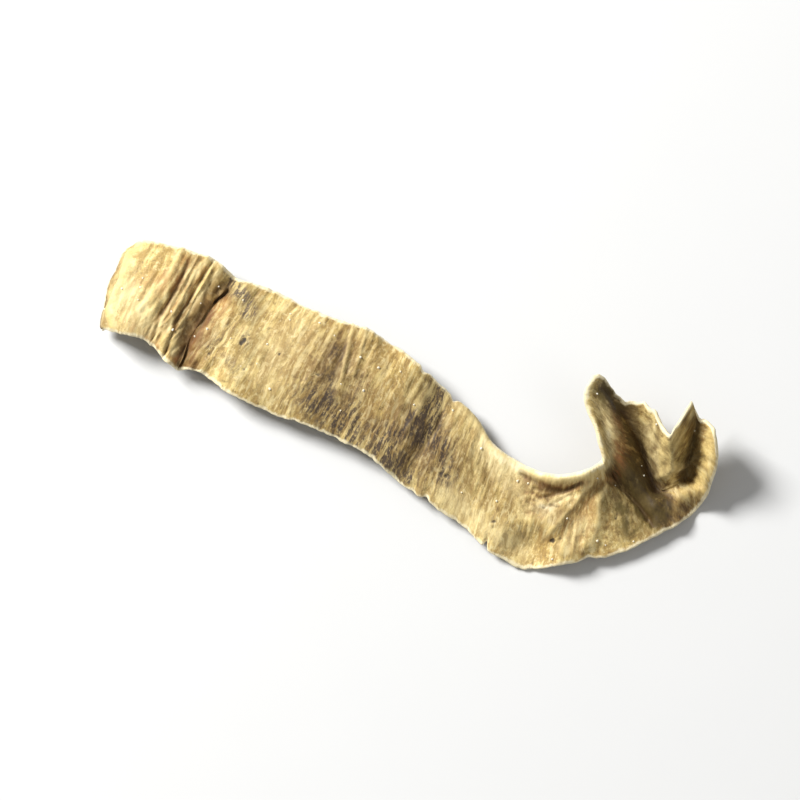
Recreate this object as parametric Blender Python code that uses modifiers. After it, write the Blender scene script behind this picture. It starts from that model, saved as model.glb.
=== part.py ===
"""Dried kombu: one strip of kelp blade, cut at one end and torn into two ruffled lobes at the other.

Metres, +Z up. The strip lies on a level surface at Z = 0, with the origin under the middle of its
bounding box. +X runs from the cut end towards the torn end, and +Y runs across the blade to the edge
that turns up.
"""

import bmesh
import bpy
import numpy as np

MM = 0.001
NAME = "kombu"
BLADE = "kombu_blade"

# The blade's thickness, and the point of the plan below that stands over the origin, in mm
THICKNESS = 0.9
PLAN_CENTRE = (-1.7, 3.9)

# Quads along and across the blade. The wrinkled stretch by the cut end, which is this share of the
# length, takes this share of the quads along it.
QUADS_ALONG = 122
QUADS_ACROSS = 16
WRINKLED_QUADS = 0.33
WRINKLED_LENGTH = 0.20

# Dry kelp, pale tan: base colour, roughness, metallic
BLADE_COLOUR = (0.60, 0.44, 0.19, 1.0)
BLADE_ROUGHNESS = 0.62
BLADE_METALLIC = 0.0

# Stations from the cut end to the torn end, in mm: the plan place of the upper (+Y) edge, that of the
# lower (-Y) edge, and the height of the blade at the upper edge, half way across and at the lower edge
STATIONS = (
    ((-49.9, 7.5), (-46.8, -7.5), (1.7, 2.2, 1.7)),
    ((-48.5, 8.2), (-45.9, -6.7), (4.0, 5.2, 4.1)),
    ((-45.0, 9.0), (-44.0, -6.0), (4.9, 6.5, 5.1)),
    ((-41.5, 9.8), (-41.6, -5.6), (5.2, 6.7, 5.4)),
    ((-37.6, 10.2), (-38.8, -6.0), (5.0, 5.9, 4.6)),
    ((-34.8, 10.0), (-36.6, -7.0), (4.5, 5.0, 3.9)),
    ((-32.2, 9.4), (-34.4, -7.0), (3.9, 4.2, 3.2)),
    ((-29.0, 9.6), (-31.0, -6.1), (3.9, 4.8, 3.2)),
    ((-24.5, 9.9), (-26.0, -7.2), (4.6, 6.2, 3.8)),
    ((-17.5, 9.6), (-18.5, -7.2), (5.2, 7.0, 4.2)),
    ((-10.5, 10.4), (-11.5, -6.8), (5.4, 6.8, 4.0)),
    ((-3.3, 9.4), (-3.4, -6.9), (4.7, 6.0, 3.4)),
    ((3.5, 7.4), (4.0, -8.8), (3.8, 5.0, 2.8)),
    ((10.2, 5.2), (11.2, -9.7), (3.0, 4.0, 2.0)),
    ((13.6, 2.9), (15.2, -10.3), (2.6, 3.4, 1.4)),
    ((18.6, 1.9), (20.0, -12.3), (2.6, 3.2, 1.8)),
    ((23.8, 1.8), (25.6, -12.2), (3.2, 3.4, 1.7)),
    ((27.9, 3.8), (31.2, -9.4), (4.4, 4.2, 1.9)),
    ((29.3, 5.6), (36.4, -5.6), (5.0, 3.6, 2.0)),
    ((29.7, 7.6), (41.2, -0.6), (5.6, 3.0, 2.0)),
    ((27.1, 9.9), (44.6, 4.6), (7.4, 4.6, 2.0)),
    ((24.7, 12.4), (46.4, 10.0), (9.6, 6.0, 3.6)),
    ((23.3, 14.8), (45.8, 14.6), (10.8, 8.2, 7.2)),
    ((23.6, 17.3), (43.6, 17.8), (11.6, 9.6, 9.6)),
)

# The two end edges in mm, each as the share of the way across and the plan place
CUT_END = (
    (0.0, (-49.9, 7.5)),
    (0.3, (-49.3, 3.4)),
    (0.6, (-48.8, -1.4)),
    (0.85, (-47.8, -5.8)),
    (1.0, (-46.8, -7.5)),
)
TORN_END = (
    (0.0, (23.6, 17.3)),
    (0.04, (24.4, 17.9)),
    (0.125, (25.8, 17.6)),
    (0.21, (27.4, 16.8)),
    (0.30, (29.4, 16.7)),
    (0.40, (32.0, 17.7)),
    (0.5, (34.1, 17.2)),
    (0.60, (35.9, 15.6)),
    (0.6875, (37.9, 14.2)),
    (0.75, (38.0, 16.4)),
    (0.8125, (38.5, 20.4)),
    (0.875, (39.8, 19.6)),
    (0.9375, (41.8, 19.0)),
    (1.0, (43.6, 17.8)),
)
# How far from each end its edge's own shape reaches into the blade, as a share of the length
CUT_END_REACH = 0.10
TORN_END_REACH = 0.13

# The upper edge's curl where the blade turns: rise and breadth in mm, then where it starts, stands
# tallest and ends, as shares of the length
CURL_RISE = 4.0
CURL_BREADTH = 1.7
CURL_RUN = (0.58, 0.78, 1.04)

# Where the blade comes down to the surface, in mm: the plan place, how far out the blade is level
# there, how far beyond that it eases up to the rest, and how much lower than half the thickness its
# middle surface goes. The blade rests on three points of its edge. The edge slopes there, which
# lifts its underside a little, and the drop makes up for that. Inside them lies one flat spot.
REST_SPOTS = (
    ((-49.9, 7.5), 0.1, 3.0, 0.042),
    ((25.83, -12.14), 0.1, 2.2, 0.010),
    ((45.54, 6.70), 0.1, 3.0, 0.070),
    ((25.7, -9.6), 2.1, 3.4, -0.004),
)
# How far the rest of the blade's underside stays off the surface, in mm
CLEAR = 0.1

# Ruffle along the edges: rise in mm and waves along the blade for the upper edge and for the lower,
# and the share of the width that it dies out over
UPPER_RUFFLES = ((0.35, 7.0), (0.22, 11.5))
LOWER_RUFFLES = ((0.40, 5.5), (0.25, 9.5))
RUFFLE_BREADTH = 0.28

# Folds: rise in mm, negative for a trough, breadth in mm, and the line in plan that each follows
FOLDS = (
    # Bunched wrinkles behind the cut end, the valley after them and a low ridge beyond it
    (0.5, 1.0, ((-40.4, 10.5), (-40.6, 4.3), (-41.7, 0.6))),
    (0.5, 0.8, ((-37.4, 11.0), (-37.8, 4.2), (-38.1, 0.8), (-38.2, -3.0), (-37.8, -7.5))),
    (0.75, 0.75, ((-34.6, 11.0), (-35.6, 4.3), (-36.0, 0.9), (-36.3, -2.8), (-36.0, -7.5))),
    (-0.9, 1.1, ((-32.0, 11.0), (-32.7, 6.4), (-34.0, 4.0), (-34.5, 1.2), (-35.0, -2.5), (-34.5, -7.5))),
    (0.6, 1.6, ((-29.6, 11.0), (-31.0, 4.0), (-31.8, -2.0), (-31.4, -8.0))),
    # Thin ridges straight across the run, and low swells beyond them
    (0.3, 0.9, ((-11.9, 11.5), (-11.0, 5.0), (-10.6, -1.0))),
    (0.25, 0.8, ((-9.6, 11.0), (-9.3, 3.0))),
    (0.3, 1.8, ((0.6, 9.5), (1.4, 2.0), (0.4, -8.5))),
    (-0.4, 1.6, ((4.6, 8.0), (5.0, 0.0), (3.0, -8.0))),
    # Fan of folds from the inside of the turn
    (0.55, 1.2, ((29.2, 3.2), (28.5, -1.1), (27.4, -4.4), (26.4, -7.6))),
    (-0.3, 1.0, ((30.6, 3.6), (30.2, -1.4), (29.0, -6.0))),
    (0.6, 1.1, ((31.6, 4.6), (32.1, 1.3), (33.2, -2.0), (33.4, -5.0))),
    (-1.2, 1.2, ((31.4, 6.0), (34.5, 5.2), (37.4, 4.0), (39.6, 2.4))),
    (0.9, 1.6, ((32.4, 7.8), (36.4, 7.0), (39.6, 4.8))),
    # Troughs of the two lobes, and the ridge that runs in from the notch between them
    (-4.0, 2.8, ((28.6, 18.4), (30.6, 16.0), (32.8, 14.0), (34.8, 11.8), (37.0, 9.6), (39.0, 7.9))),
    (2.0, 1.3, ((37.9, 14.8), (38.3, 12.2), (39.6, 9.6))),
    (-3.0, 1.9, ((40.6, 20.6), (41.4, 15.6), (42.2, 11.2))),
    (1.0, 1.1, ((43.8, 17.8), (45.0, 13.6), (45.4, 9.8))),
)


def clear_scene():
    """Removes what a new file holds."""
    for thing in list(bpy.data.objects):
        bpy.data.objects.remove(thing, do_unlink=True)


def smooth_curve(knots, values, places):
    """Reads a smooth curve, which passes through values at knots, at each of places."""
    slopes = np.gradient(values, knots, axis=0)
    left = np.clip(np.searchsorted(knots, places, side="right") - 1, 0, len(knots) - 2)
    span = (knots[left + 1] - knots[left])[:, None]
    t = (places - knots[left])[:, None] / span
    start, end = values[left], values[left + 1]
    leave, arrive = slopes[left] * span, slopes[left + 1] * span
    bend = (leave - 2.0 * (end - start) + arrive) * t + 3.0 * (end - start) - 2.0 * leave - arrive
    return start + (leave + bend * t) * t


def ease(t):
    """Smooth step from 0 to 1."""
    t = np.clip(t, 0.0, 1.0)
    return t * t * (3.0 - 2.0 * t)


def station_knots(rows):
    """Share of the blade's mean length at which each station stands."""
    middles = (rows[:, 0:2] + rows[:, 2:4]) / 2.0
    steps = np.linalg.norm(np.diff(middles, axis=0), axis=1)
    knots = np.concatenate(([0.0], np.cumsum(steps)))
    return knots / knots[-1]


def end_shift(profile, across):
    """How far an end edge stands off the straight line between its corners."""
    shares = np.array([share for share, place in profile])
    places = np.array([place for share, place in profile])
    edge_x = np.interp(across, shares, places[:, 0])
    edge_y = np.interp(across, shares, places[:, 1])
    straight = places[0] + (places[-1] - places[0]) * across[:, None]
    return np.column_stack((edge_x, edge_y)) - straight


def distance_to_line(plan, line):
    """Distance in plan from each point to a line of straight pieces."""
    nearest = np.full(len(plan), np.inf)
    for start, end in zip(line[:-1], line[1:]):
        start, reach = np.array(start), np.subtract(end, start)
        share = np.clip((plan - start) @ reach / (reach @ reach), 0.0, 1.0)
        nearest = np.minimum(nearest, np.linalg.norm(plan - start - share[:, None] * reach, axis=1))
    return nearest


def ruffle(along, waves):
    """Rise of an edge's ruffle, as waves that start level at the cut end."""
    return sum(rise * np.sin(2.0 * np.pi * count * along) for rise, count in waves)


def rest_flat(plan, height):
    """The height with the blade brought down to where it touches the surface."""
    height = np.maximum(height, THICKNESS / 2.0 + CLEAR)
    for spot, flat, reach, drop in REST_SPOTS:
        level = THICKNESS / 2.0 - drop
        away = np.linalg.norm(plan - spot, axis=1)
        height = level + (height - level) * ease((away - flat) / reach)
    return height


def blade_surface(along, across):
    """Places of points on the blade's middle surface in mm, from their shares along and across it."""
    rows = np.array([upper + lower + heights for upper, lower, heights in STATIONS])
    sections = smooth_curve(station_knots(rows), rows, along)
    upper, lower = sections[:, 0:2], sections[:, 2:4]
    plan = upper + (lower - upper) * across[:, None]
    plan += ease(1.0 - along / CUT_END_REACH)[:, None] * end_shift(CUT_END, across)
    plan += ease(1.0 - (1.0 - along) / TORN_END_REACH)[:, None] * end_shift(TORN_END, across)
    at_upper, at_middle, at_lower = sections[:, 4], sections[:, 5], sections[:, 6]
    height = at_upper * (1.0 - across) * (1.0 - 2.0 * across)
    height += 4.0 * at_middle * across * (1.0 - across)
    height += at_lower * across * (2.0 * across - 1.0)
    for rise, breadth, line in FOLDS:
        height += rise * np.exp(-((distance_to_line(plan, line) / breadth) ** 2))
    starts, tallest, ends = CURL_RUN
    swell = ease((along - starts) / (tallest - starts)) * ease((ends - along) / (ends - tallest))
    from_edge = across * np.linalg.norm(lower - upper, axis=1)
    height += CURL_RISE * swell * np.exp(-((from_edge / CURL_BREADTH) ** 2))
    height += ruffle(along, UPPER_RUFFLES) * ease(1.0 - across / RUFFLE_BREADTH)
    height += ruffle(along, LOWER_RUFFLES) * ease(1.0 - (1.0 - across) / RUFFLE_BREADTH)
    return np.column_stack((plan - PLAN_CENTRE, rest_flat(plan, height)))


def blade_mesh():
    """A grid of quads, bent to the blade's middle surface."""
    grid = bmesh.new()
    bmesh.ops.create_grid(grid, x_segments=QUADS_ALONG, y_segments=QUADS_ACROSS, size=1.0)
    flat = np.array([corner.co[:2] for corner in grid.verts])
    along = np.interp((1.0 + flat[:, 0]) / 2.0, (0.0, WRINKLED_QUADS, 1.0), (0.0, WRINKLED_LENGTH, 1.0))
    surface = blade_surface(along, (1.0 - flat[:, 1]) / 2.0)
    for corner, place in zip(grid.verts, surface * MM):
        corner.co = place
    mesh = bpy.data.meshes.new(BLADE)
    grid.to_mesh(mesh)
    grid.free()
    mesh.shade_smooth()
    return mesh


def blade_material():
    """Dry kelp."""
    material = bpy.data.materials.new("dry_kelp")
    material.use_nodes = True
    shader = material.node_tree.nodes["Principled BSDF"]
    shader.inputs["Base Color"].default_value = BLADE_COLOUR
    shader.inputs["Roughness"].default_value = BLADE_ROUGHNESS
    shader.inputs["Metallic"].default_value = BLADE_METALLIC
    return material


def add_blade(collection):
    """The strip: a bent sheet, split into triangles alike on both faces and then thickened."""
    blade = bpy.data.objects.new(BLADE, blade_mesh())
    blade.data.materials.append(blade_material())
    collection.objects.link(blade)
    blade.modifiers.new("triangles", "TRIANGULATE").quad_method = "FIXED"
    thicken = blade.modifiers.new("thickness", "SOLIDIFY")
    thicken.thickness = THICKNESS * MM
    thicken.offset = 0.0
    return blade


def main():
    clear_scene()
    collection = bpy.data.collections.new(NAME)
    bpy.context.scene.collection.children.link(collection)
    add_blade(collection)


main()
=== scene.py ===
"""Dried kombu, dressed: the look of the strip of kelp blade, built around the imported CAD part.

Metres, +Z up. The strip lies on a level surface at Z = 0. +X runs from the cut end to the torn end.
Lengths in the tables below are in millimetres. Places in plan are X and Y from a point of their
own, and the frame's origin stands at PLAN_CENTRE among them. Shares along the blade run from 0 at
the cut end to 1 at the torn end, and shares across it from 0 at the upper edge, on the inside of
the turn, to 1 at the lower edge.
"""

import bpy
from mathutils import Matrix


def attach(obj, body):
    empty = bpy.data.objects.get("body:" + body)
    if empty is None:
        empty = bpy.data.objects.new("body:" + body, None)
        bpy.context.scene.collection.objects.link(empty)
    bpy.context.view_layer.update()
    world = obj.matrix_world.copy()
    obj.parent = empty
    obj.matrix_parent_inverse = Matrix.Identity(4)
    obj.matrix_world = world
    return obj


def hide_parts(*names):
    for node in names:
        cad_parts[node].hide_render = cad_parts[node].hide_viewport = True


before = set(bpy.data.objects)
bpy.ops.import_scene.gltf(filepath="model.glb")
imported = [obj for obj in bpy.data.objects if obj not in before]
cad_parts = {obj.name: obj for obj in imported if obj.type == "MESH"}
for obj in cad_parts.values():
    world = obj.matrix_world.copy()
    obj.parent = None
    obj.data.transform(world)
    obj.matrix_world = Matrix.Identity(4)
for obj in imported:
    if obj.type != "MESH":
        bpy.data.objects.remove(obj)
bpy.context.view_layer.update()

import math

import bmesh
import bpy
import numpy as np
from bpy.props import FloatProperty, FloatVectorProperty, IntProperty, PointerProperty
from mathutils import Vector

bl_info = {
    "name": "Kombu",
    "version": (1, 0, 0),
    "blender": (4, 5, 0),
    "location": "3D View > Sidebar > Kombu",
    "description": "Builds a strip of dried kombu with its stains and salt, and a plain stage",
    "category": "Add Mesh",
}

MM = 0.001

# The blade's form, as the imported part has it. A station is a place on the upper edge, one on the
# lower edge, and the heights at the upper edge, midway and at the lower edge
PLAN_CENTRE = (-1.7, 3.9)
STATIONS = (
    ((-49.9, 7.5), (-46.8, -7.5), (1.7, 2.2, 1.7)),
    ((-48.5, 8.2), (-45.9, -6.7), (4.0, 5.2, 4.1)),
    ((-45.0, 9.0), (-44.0, -6.0), (4.9, 6.5, 5.1)),
    ((-41.5, 9.8), (-41.6, -5.6), (5.2, 6.7, 5.4)),
    ((-37.6, 10.2), (-38.8, -6.0), (5.0, 5.9, 4.6)),
    ((-34.8, 10.0), (-36.6, -7.0), (4.5, 5.0, 3.9)),
    ((-32.2, 9.4), (-34.4, -7.0), (3.9, 4.2, 3.2)),
    ((-29.0, 9.6), (-31.0, -6.1), (3.9, 4.8, 3.2)),
    ((-24.5, 9.9), (-26.0, -7.2), (4.6, 6.2, 3.8)),
    ((-17.5, 9.6), (-18.5, -7.2), (5.2, 7.0, 4.2)),
    ((-10.5, 10.4), (-11.5, -6.8), (5.4, 6.8, 4.0)),
    ((-3.3, 9.4), (-3.4, -6.9), (4.7, 6.0, 3.4)),
    ((3.5, 7.4), (4.0, -8.8), (3.8, 5.0, 2.8)),
    ((10.2, 5.2), (11.2, -9.7), (3.0, 4.0, 2.0)),
    ((13.6, 2.9), (15.2, -10.3), (2.6, 3.4, 1.4)),
    ((18.6, 1.9), (20.0, -12.3), (2.6, 3.2, 1.8)),
    ((23.8, 1.8), (25.6, -12.2), (3.2, 3.4, 1.7)),
    ((27.9, 3.8), (31.2, -9.4), (4.4, 4.2, 1.9)),
    ((29.3, 5.6), (36.4, -5.6), (5.0, 3.6, 2.0)),
    ((29.7, 7.6), (41.2, -0.6), (5.6, 3.0, 2.0)),
    ((27.1, 9.9), (44.6, 4.6), (7.4, 4.6, 2.0)),
    ((24.7, 12.4), (46.4, 10.0), (9.6, 6.0, 3.6)),
    ((23.3, 14.8), (45.8, 14.6), (10.8, 8.2, 7.2)),
    ((23.6, 17.3), (43.6, 17.8), (11.6, 9.6, 9.6)),
)
# Outlines of the two ends, as share across and place, and how far along the blade each is felt
CUT_END = (
    (0.0, (-49.9, 7.5)),
    (0.3, (-49.3, 3.4)),
    (0.6, (-48.8, -1.4)),
    (0.85, (-47.8, -5.8)),
    (1.0, (-46.8, -7.5)),
)
TORN_END = (
    (0.0, (23.6, 17.3)),
    (0.04, (24.4, 17.9)),
    (0.125, (25.8, 17.6)),
    (0.21, (27.4, 16.8)),
    (0.30, (29.4, 16.7)),
    (0.40, (32.0, 17.7)),
    (0.5, (34.1, 17.2)),
    (0.60, (35.9, 15.6)),
    (0.6875, (37.9, 14.2)),
    (0.75, (38.0, 16.4)),
    (0.8125, (38.5, 20.4)),
    (0.875, (39.8, 19.6)),
    (0.9375, (41.8, 19.0)),
    (1.0, (43.6, 17.8)),
)
CUT_END_REACH = 0.10
TORN_END_REACH = 0.13
# The upper edge curls up round the turn: its rise and breadth, and the shares along the blade where
# it starts, is tallest and would end
CURL_RISE = 4.0
CURL_BREADTH = 1.7
CURL_RUN = (0.58, 0.78, 1.04)
# Where the blade rests: the place, the radius that lies flat, and how far beyond it the blade is
# still drawn down. Its middle surface stays CLEAR above that level elsewhere
REST_SPOTS = (
    ((-49.9, 7.5), 0.1, 3.0),
    ((25.83, -12.14), 0.1, 2.2),
    ((45.54, 6.70), 0.1, 3.0),
    ((25.7, -10.2), 1.0, 4.6),
)
CLEAR = 0.1
# Ruffles of the edges, as rise and number of waves, and their reach as a share of the width
UPPER_RUFFLES = ((0.35, 7.0), (0.22, 11.5))
LOWER_RUFFLES = ((0.40, 5.5), (0.25, 9.5))
RUFFLE_BREADTH = 0.28
# Lines in plan that folds, creases, stains and painted shade and highlights share
VALLEY = ((-32.0, 11.0), (-32.7, 6.4), (-34.0, 4.0), (-34.5, 1.2), (-35.0, -2.5), (-34.5, -7.5))
# Where the shadow in the slit at the head of the valley is painted
SLIT = ((-32.6, 6.6), (-33.5, 4.8))
# Where a painted shadow line runs under the rolled lip of the turn
LIP_SHADOW_LINE = ((20.0, 0.4), (22.4, 0.0), (25.2, 0.2), (27.2, 1.0), (28.8, 2.6))
FAN_RIDGE = ((29.5, 3.1), (28.7, -1.4), (27.7, -4.5), (26.8, -7.1))
# Folds of the part, as rise, breadth and line: ridges are positive
FOLDS = (
    (0.5, 1.0, ((-40.4, 10.5), (-40.6, 4.3), (-41.7, 0.6))),
    (0.5, 0.8, ((-37.4, 11.0), (-37.8, 4.2), (-38.1, 0.8), (-38.2, -3.0), (-37.8, -7.5))),
    (0.75, 0.75, ((-34.6, 11.0), (-35.6, 4.3), (-36.0, 0.9), (-36.3, -2.8), (-36.0, -7.5))),
    (-0.9, 1.1, VALLEY),
    (0.6, 1.6, ((-29.6, 11.0), (-31.0, 4.0), (-31.8, -2.0), (-31.4, -8.0))),
    (0.3, 0.9, ((-11.9, 11.5), (-11.0, 5.0), (-10.6, -1.0))),
    (0.25, 0.8, ((-9.6, 11.0), (-9.3, 3.0))),
    (0.3, 1.8, ((0.6, 9.5), (1.4, 2.0), (0.4, -8.5))),
    (-0.4, 1.6, ((4.6, 8.0), (5.0, 0.0), (3.0, -8.0))),
    (0.55, 1.2, ((29.2, 3.2), (28.5, -1.1), (27.4, -4.4), (26.4, -7.6))),
    (-0.3, 1.0, ((30.6, 3.6), (30.2, -1.4), (29.0, -6.0))),
    (0.6, 1.1, ((31.6, 4.6), (32.1, 1.3), (33.2, -2.0), (33.4, -5.0))),
    (-1.2, 1.2, ((31.4, 6.0), (34.5, 5.2), (37.4, 4.0), (39.6, 2.4))),
    (0.9, 1.6, ((32.4, 7.8), (36.4, 7.0), (39.6, 4.8))),
    (-4.0, 2.8, ((28.6, 18.4), (30.6, 16.0), (32.8, 14.0), (34.8, 11.8), (37.0, 9.6), (39.0, 7.9))),
    (2.0, 1.3, ((37.9, 14.8), (38.3, 12.2), (39.6, 9.6))),
    (-3.0, 1.9, ((40.6, 20.6), (41.4, 15.6), (42.2, 11.2))),
    (1.0, 1.1, ((43.8, 17.8), (45.0, 13.6), (45.4, 9.8))),
)

# The fine grid: its rows along and across the blade. Of the rows along it, these shares reach these
# shares of the length. Close to each border stand more rows, at these shares from it, and no other
# up to BORDER_GAP times the last of them
ROWS_ALONG = 610
ROWS_ACROSS = 76
ROW_SHARES = (0.0, 0.24, 0.56, 1.0)
LENGTH_SHARES = (0.0, 0.20, 0.60, 1.0)
BORDER_ALONG = (0.0005, 0.0013, 0.0025)
BORDER_ACROSS = (0.003, 0.0085, 0.017)
BORDER_GAP = 1.3
# Length of the blade along its middle line
MEAN_LENGTH = 118.0

# Gathers from the inside of the turn, as rise of the crease, strength of the brown in it, which is
# partly painted crease shade, and line
GATHERS = (
    (-0.20, 0.7, ((24.6, -1.4), (25.8, -2.2), (26.9, -2.0))),
    (-0.18, 0.6, ((22.6, -2.6), (23.8, -2.4), (25.0, -3.1))),
    (-0.16, 0.6, ((21.4, -2.0), (22.7, -1.5), (24.0, -1.9))),
    (-0.16, 0.6, ((23.0, -4.7), (24.3, -4.0), (25.6, -4.4))),
    (-0.18, 0.7, ((23.7, -1.8), (25.5, -0.5), (27.3, 0.9), (28.6, 2.6))),
)
# Creases finer than the part's folds, as rise, breadth and line: crests are positive
CREASES = (
    # Where the cut end turns down
    (0.35, 0.40, ((-48.0, 6.5), (-47.5, 2.0), (-47.2, -3.5), (-45.6, -5.6))),
    (-0.18, 0.40, ((-48.9, 6.0), (-48.4, 2.0), (-48.0, -3.0))),
    # Bunched wrinkles behind the cut end
    (0.22, 0.40, ((-41.3, 10.0), (-41.2, 7.4), (-41.4, 4.6), (-42.2, 1.6), (-43.0, -1.6))),
    (-0.16, 0.30, ((-40.6, 8.6), (-40.4, 5.6), (-40.9, 2.6), (-41.7, -0.6))),
    (-0.20, 0.32, ((-39.7, 9.5), (-39.5, 6.8), (-39.7, 3.1), (-40.0, -1.0), (-39.5, -4.6))),
    (0.20, 0.28, ((-38.6, 9.6), (-38.8, 5.5), (-39.1, 2.0), (-39.4, -2.4))),
    (-0.20, 0.26, ((-38.2, 9.2), (-38.4, 4.6), (-38.8, 0.2))),
    (-0.28, 0.30, ((-36.5, 9.6), (-36.8, 6.3), (-37.0, 2.1), (-37.4, -2.3), (-37.0, -5.4))),
    (0.20, 0.26, ((-36.0, 9.6), (-36.3, 6.0), (-36.5, 3.0))),
    (-0.18, 0.24, ((-35.4, 8.6), (-35.7, 5.4), (-36.0, 2.2), (-36.3, -1.4))),
    (0.16, 0.28, ((-34.2, 8.8), (-34.7, 5.6), (-35.2, 3.0))),
    (-0.16, 0.35, ((-42.6, 6.0), (-43.2, 2.0), (-43.8, -1.5))),
    (-0.10, 0.28, ((-43.9, 6.6), (-44.4, 3.4), (-44.2, 0.8))),
    (0.45, 1.00, VALLEY),
    (-0.28, 0.60, ((-34.9, 8.4), (-35.6, 4.3), (-36.0, 0.9), (-36.3, -2.8), (-36.0, -5.4))),
    (-0.14, 0.28, ((-35.0, 6.6), (-35.2, 3.6), (-35.8, 0.4), (-35.6, -2.2))),
    (0.12, 0.28, ((-34.6, 4.8), (-34.9, 1.6), (-35.2, -1.8), (-34.8, -5.0))),
    (0.16, 0.28, ((-37.9, 8.8), (-38.2, 6.0), (-38.0, 3.4), (-38.4, 0.6), (-37.6, -2.6))),
    (-0.16, 0.28, ((-41.9, 8.4), (-41.6, 5.2), (-42.0, 3.0))),
    # The slit at the head of the valley, and the crest beyond it
    (-0.60, 0.40, ((-32.5, 6.8), (-33.6, 4.6))),
    (0.22, 0.60, ((-31.3, 8.2), (-31.4, 4.7), (-32.1, 1.0), (-33.0, -2.8))),
    # Thin ridges straight across the run
    (0.30, 0.28, ((-13.0, 10.4), (-12.3, 7.4), (-11.6, 4.6), (-10.9, 1.4))),
    (0.24, 0.26, ((-11.0, 10.6), (-10.4, 8.0), (-9.8, 5.0), (-9.6, 3.0))),
    (-0.24, 0.28, ((-11.9, 10.2), (-11.2, 6.7), (-10.6, 2.6))),
    (-0.12, 0.24, ((-13.0, 9.4), (-12.6, 5.6), (-12.5, 2.2))),
    (0.12, 0.26, ((-8.6, 9.6), (-8.4, 6.4), (-8.0, 3.4))),
    (0.10, 0.30, ((-15.2, 8.6), (-15.0, 3.6), (-15.6, -1.4))),
    (0.10, 0.30, ((1.2, 6.4), (1.6, 2.4), (1.0, -1.6))),
    (-0.12, 0.30, ((4.6, 4.6), (5.2, 1.2), (4.4, -3.6))),
    # Gathers from the inside of the turn
    (-0.28, 0.36, ((19.4, 0.4), (21.4, 0.2), (24.2, 0.0), (26.6, 0.6), (28.6, 2.4))),
    *((rise, 0.28, line) for rise, rust, line in GATHERS),
    (-0.14, 0.28, ((20.0, -2.9), (21.4, -3.4), (22.4, -4.3))),
    (-0.16, 0.26, ((22.4, -0.8), (24.4, -0.4), (26.6, 0.2))),
    (0.14, 0.40, ((23.4, -3.2), (25.0, -2.2), (27.0, -0.1), (28.8, 2.2))),
    (-0.14, 0.26, ((25.0, -3.0), (26.4, -1.4), (27.8, 0.4))),
    (0.14, 0.30, ((26.0, -4.6), (27.2, -2.6), (28.2, -0.4))),
    (0.16, 0.30, FAN_RIDGE),
    (0.12, 0.80, ((30.6, 3.9), (30.1, -1.5), (29.0, -6.0))),
    (0.14, 0.40, ((31.8, 4.2), (31.9, 2.6), (32.2, 0.8), (33.4, -1.8))),
    (-0.34, 0.36, ((31.9, 4.5), (33.5, 4.8), (35.6, 4.4), (37.4, 3.7), (39.4, 3.0), (41.0, 1.6))),
    (-0.30, 0.40, ((38.3, 15.0), (38.7, 12.1), (39.4, 9.8))),
    (0.34, 0.40, ((39.0, 9.4), (40.8, 11.6), (42.4, 13.9))),
    (-0.30, 0.45, ((38.6, 8.2), (40.8, 9.4), (43.4, 11.4))),
    (-0.45, 0.60, (
        (25.6, 16.4), (28.4, 15.3), (31.5, 13.9), (34.2, 11.9), (36.2, 9.7), (38.9, 6.9),
    )),
    # Puckers across the edge that turns up
    (-0.22, 0.34, ((40.6, 4.0), (42.4, 3.0), (43.8, 2.2))),
    (-0.26, 0.36, ((42.2, 6.8), (44.2, 6.0), (45.8, 5.6))),
    (0.16, 0.34, ((42.6, 8.2), (44.6, 7.8), (46.2, 7.6))),
    (-0.24, 0.34, ((43.0, 10.6), (44.8, 10.2), (46.6, 10.2))),
    (-0.22, 0.34, ((42.6, 14.6), (44.4, 13.6), (46.2, 13.4))),
)
# Small pits in the upper face, as strength, breadth and plan place
PITS = (
    (1.0, 0.36, (-26.7, 0.9)), (0.5, 0.30, (-26.1, 1.3)), (0.5, 0.22, (-21.0, 1.0)),
    (0.8, 0.26, (-14.3, 0.6)), (0.9, 0.34, (9.4, -4.8)), (0.4, 0.22, (16.1, -3.1)),
    (0.7, 0.30, (19.1, -7.9)), (0.9, 0.36, (28.3, -6.6)), (0.5, 0.30, (-31.0, -3.0)),
    (0.5, 0.26, (-28.2, 4.0)), (0.6, 0.28, (-24.9, -3.1)), (0.5, 0.30, (35.2, 0.9)),
    (0.4, 0.20, (36.6, 1.8)), (0.4, 0.22, (34.4, -0.8)), (0.3, 0.18, (6.2, 2.4)),
    (0.5, 0.20, (-4.4, -2.6)),
)
PIT_DEPTH = 0.22
# How uneven the pits are, and over what length
PIT_UNEVEN = 0.45
PIT_GRAIN = 0.3
PIT_NOISE_SEED = 131
# Lesser pits about each: their strength as a share of its own, and how far off they stand
CLUSTER = (0.7, 0.55, 0.45, 0.35)
CLUSTER_SPREAD = 0.75
PIT_SEED = 7
# Tears and nicks in the edges: share along the edge, depth and half width
UPPER_NICKS = ((0.0, 0.7, 1.4), (0.475, 0.4, 1.0), (0.535, 0.6, 0.6), (0.905, 0.7, 2.4))
LOWER_NICKS = (
    (0.0, 1.4, 1.5), (0.664, 1.2, 0.40), (0.40, 0.4, 0.9), (0.555, 0.5, 0.8), (0.80, 0.6, 1.1),
)
TORN_NICKS = ((0.46, 0.4, 0.7), (0.90, 0.5, 0.6))
# Small bites of every border, as depth and length of the waves that they are made of
BITES = ((0.20, 3.4), (0.10, 1.1), (0.06, 0.5))
# For each border the seed and the strength of its bites, and how far in they are felt. The ends are
# as wide as given, and in the turn the upper edge is bitten less
UPPER_WEAR = (11, 0.7, 2.2)
LOWER_WEAR = (23, 1.0, 2.4)
TORN_WEAR = (37, 1.3, 2.4)
CUT_WEAR = (51, 0.6, 1.5)
TORN_WIDTH = 30.0
CUT_WIDTH = 16.0
TURN_KEPT = 0.5

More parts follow.
